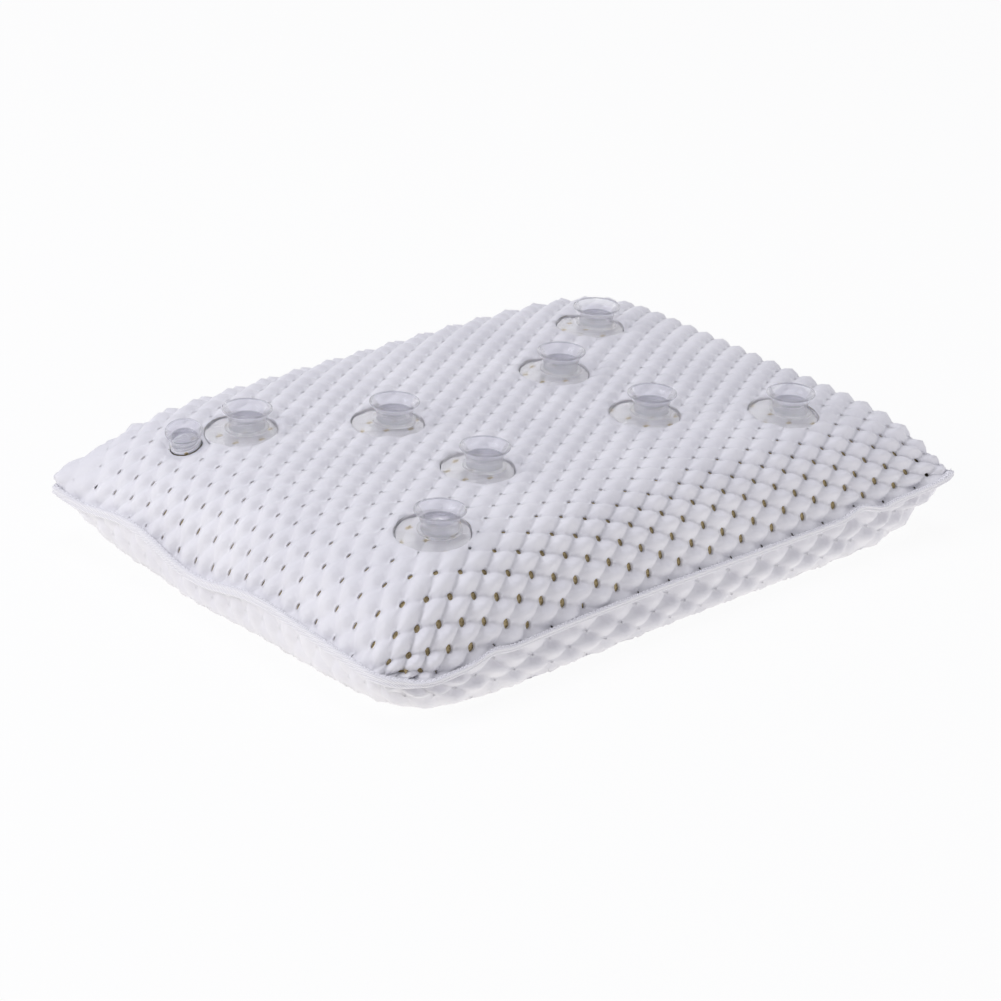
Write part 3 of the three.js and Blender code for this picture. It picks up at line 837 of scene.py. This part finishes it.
def disc_profile():
    """A flat disc with rounded edges and a low raised border on top."""
    edge, middle = 0.5, DISC_THICKNESS - 0.25
    profile = [(0.0, 0.0), (DISC_RADIUS - 0.3, 0.0)]
    profile += quad_curve((DISC_RADIUS - 0.3, 0), (DISC_RADIUS, 0), (DISC_RADIUS, 0.3), 2)
    profile += [(DISC_RADIUS, DISC_THICKNESS - edge)]
    profile += quad_curve(profile[-1], (DISC_RADIUS, DISC_THICKNESS), (DISC_RADIUS - edge, DISC_THICKNESS), 4)
    profile += [(DISC_RADIUS - 1.4, DISC_THICKNESS), (DISC_RADIUS - 1.9, middle), (0.0, middle)]
    return profile


def gets_painted_shade(height):
    """The neck and the lip, where one looks through more of the vinyl: their grey is painted shade."""
    in_neck = FOOT_THICKNESS + 0.1 < height < NECK_HEIGHT
    in_lip = CUP_HEIGHT - LIP_DEPTH - 0.1 < height < CUP_HEIGHT - 0.1
    return in_neck or in_lip


for cup in cups:
    points, faces = turned(cup_profile(), CUP_SIDES)
    heights = points[:, 2]
    points = lean_neck(points, cup.lean, cup.heading) * cup.scale
    if not cup.small:
        points = points + np.array((*towards(OFFSET_HEADING, CUP_OFFSET), DISC_THICKNESS + FIT_GAP))
    piece = make_object(f"clear_cup_{cup.index}", place_points(points, cup), faces, BOWL_VINYL)
    # The neck and lip faces take the darker vinyl, which is painted shade.
    piece.data.materials.append(SHADED_NECK_VINYL)
    shaded_faces = [int(gets_painted_shade(heights[list(f)].mean())) for f in faces]
    piece.data.polygons.foreach_set("material_index", shaded_faces)
    dress(piece, f"cup_{cup.index}", "clear_vinyl", f"suction_cup_{cup.index}")
    if not cup.small:
        points, faces = turned(disc_profile(), CUP_SIDES)
        piece = make_object(f"clear_disc_{cup.index}", place_points(points, cup), faces, DISC_VINYL)
        dress(piece, f"cup_{cup.index}", "clear_vinyl", f"cup_disc_{cup.index}")


# Pressed mesh under each disc and the small foot, which goes down with its cup
def pressed_mesh(seat):
    """A thin pad with the mesh's lumps pressed low, and the foam showing in its holes."""
    radius = seat.cup.radius - FIT_GAP
    profile = [(0.0, -1.8), (radius, -1.8)] + [(r, -0.1) for r in np.linspace(radius, 0, 40)]
    points, faces = turned(profile, 120)
    flat = seat.middle + points[:, :2] @ np.linalg.inv(seat.shape).T
    lump = lump_height(flat, TOP_START)
    points[:, 2] += np.where(points[:, 2] > -1, 1.2 * lump, 0)
    patch = make_object(f"pressed_mesh_{seat.cup.index}", place_points(points, seat.cup), faces, MESH)
    patch.data.materials.append(FOAM)
    patch.data.polygons.foreach_set("material_index", [int(lump[list(f)].mean() < -0.92) for f in faces])
    dress(patch, f"cup_{seat.cup.index}", "mesh_cover")


for seat in seats:
    pressed_mesh(seat)


# Floor, light and camera
def mix_by(nodes, links, share, first, second):
    mix = nodes.new("ShaderNodeMixShader")
    if isinstance(share, float):
        mix.inputs["Fac"].default_value = share
    else:
        links.new(share, mix.inputs["Fac"])
    links.new(first, mix.inputs[1])
    links.new(second, mix.inputs[2])
    return mix.outputs["Shader"]


def seen_rays(nodes, links):
    """1 for what is seen, straight or in the clear pieces, and 0 for what only gives light."""
    rays = nodes.new("ShaderNodeLightPath")
    seen = rays.outputs["Is Camera Ray"]
    for kind in ("Is Glossy Ray", "Is Transmission Ray"):
        either = nodes.new("ShaderNodeMath")
        either.operation = "MAXIMUM"
        links.new(seen, either.inputs[0])
        links.new(rays.outputs[kind], either.inputs[1])
        seen = either.outputs["Value"]
    direct = nodes.new("ShaderNodeMath")
    direct.operation = "LESS_THAN"
    direct.inputs[1].default_value = 0.5
    links.new(rays.outputs["Diffuse Depth"], direct.inputs[0])
    both = nodes.new("ShaderNodeMath")
    both.operation = "MULTIPLY"
    links.new(seen, both.inputs[0])
    links.new(direct.outputs["Value"], both.inputs[1])
    return both.outputs["Value"]


def floor():
    """A pale floor that shows white, and throws a little warm light back up."""
    points = [(-3000, -3000, 0), (3000, -3000, 0), (3000, 3000, 0), (-3000, 3000, 0)]
    made, nodes, links, shader = new_material("pale_floor")
    shader.inputs["Base Color"].default_value = linear(240, 240, 242)
    shader.inputs["Roughness"].default_value = 0.9
    white, bounce = nodes.new("ShaderNodeEmission"), nodes.new("ShaderNodeEmission")
    bounce.inputs["Color"].default_value = (1.0, 0.975, 0.92, 1)
    bounce.inputs["Strength"].default_value = 1.5
    shown = mix_by(nodes, links, 0.92, shader.outputs["BSDF"], white.outputs["Emission"])
    unseen = mix_by(nodes, links, 0.55, shader.outputs["BSDF"], bounce.outputs["Emission"])
    surface = mix_by(nodes, links, seen_rays(nodes, links), unseen, shown)
    links.new(surface, nodes["Material Output"].inputs["Surface"])
    plane = make_object("floor", points, [(0, 1, 2, 3)], made, False)
    plane.location.z = -0.0003


def studio_world():
    """White where it is seen, and dimmer where it only gives light."""
    world = bpy.data.worlds.new("studio")
    bpy.context.scene.world = world
    world.use_nodes = True
    nodes, links = world.node_tree.nodes, world.node_tree.links
    light, white = nodes.new("ShaderNodeBackground"), nodes.new("ShaderNodeBackground")
    light.inputs["Color"].default_value = linear(246, 246, 255)
    light.inputs["Strength"].default_value = 0.38
    white.inputs["Color"].default_value = (1, 1, 1, 1)
    seen = seen_rays(nodes, links)
    sky = mix_by(nodes, links, seen, light.outputs["Background"], white.outputs["Background"])
    links.new(sky, nodes["World Output"].inputs["Surface"])


def area_lamp(name, place, target, size, power):
    data = bpy.data.lights.new(name, "AREA")
    data.shape = "RECTANGLE"
    data.size, data.size_y = size
    data.energy = power
    data.color = (0.95, 0.95, 1.0)
    lamp = bpy.data.objects.new(name, data)
    lamp.location = place
    lamp.rotation_euler = (Vector(target) - Vector(place)).to_track_quat("-Z", "Y").to_euler()
    bpy.context.scene.collection.objects.link(lamp)


floor()
studio_world()
area_lamp("left_softbox", (-1.5, 0.5, 1.1), (0, 0, 0.03), (1.0, 0.8), 14.8)
area_lamp("top_softbox", (0.2, 0.5, 1.9), (0, 0, 0.03), (1.4, 1.4), 13.3)
area_lamp("front_fill", (0.5, -1.3, 0.2), (0.05, 0, 0.02), (1.6, 0.35), 4.2)


def camera():
    azimuth, elevation, roll = math.radians(-44.93), math.radians(25.39), 0.07228
    distance, focal = 1.6579, 3312.97 / 1001
    level = math.cos(elevation)
    back = Vector((math.sin(azimuth) * level, -math.cos(azimuth) * level, math.sin(elevation)))
    right = Vector((0, 0, 1)).cross(back).normalized()
    up = back.cross(right)
    turned_right = right * math.cos(roll) + up * math.sin(roll)
    turned_up = up * math.cos(roll) - right * math.sin(roll)
    eye = back * distance
    matrix = Matrix((turned_right, turned_up, back)).transposed().to_4x4()
    matrix.translation = eye
    data = bpy.data.cameras.new("photo_camera")
    data.sensor_width = 36
    data.lens = 36 * focal
    data.shift_x = (500.5 - 509.32) / 1001
    data.shift_y = (530.55 - 500.5) / 1001
    data.clip_start, data.clip_end = 0.05, 20
    made = bpy.data.objects.new("photo_camera", data)
    made.matrix_world = matrix
    bpy.context.scene.collection.objects.link(made)
    bpy.context.scene.camera = made


camera()
bpy.context.scene.view_settings.view_transform = "Standard"
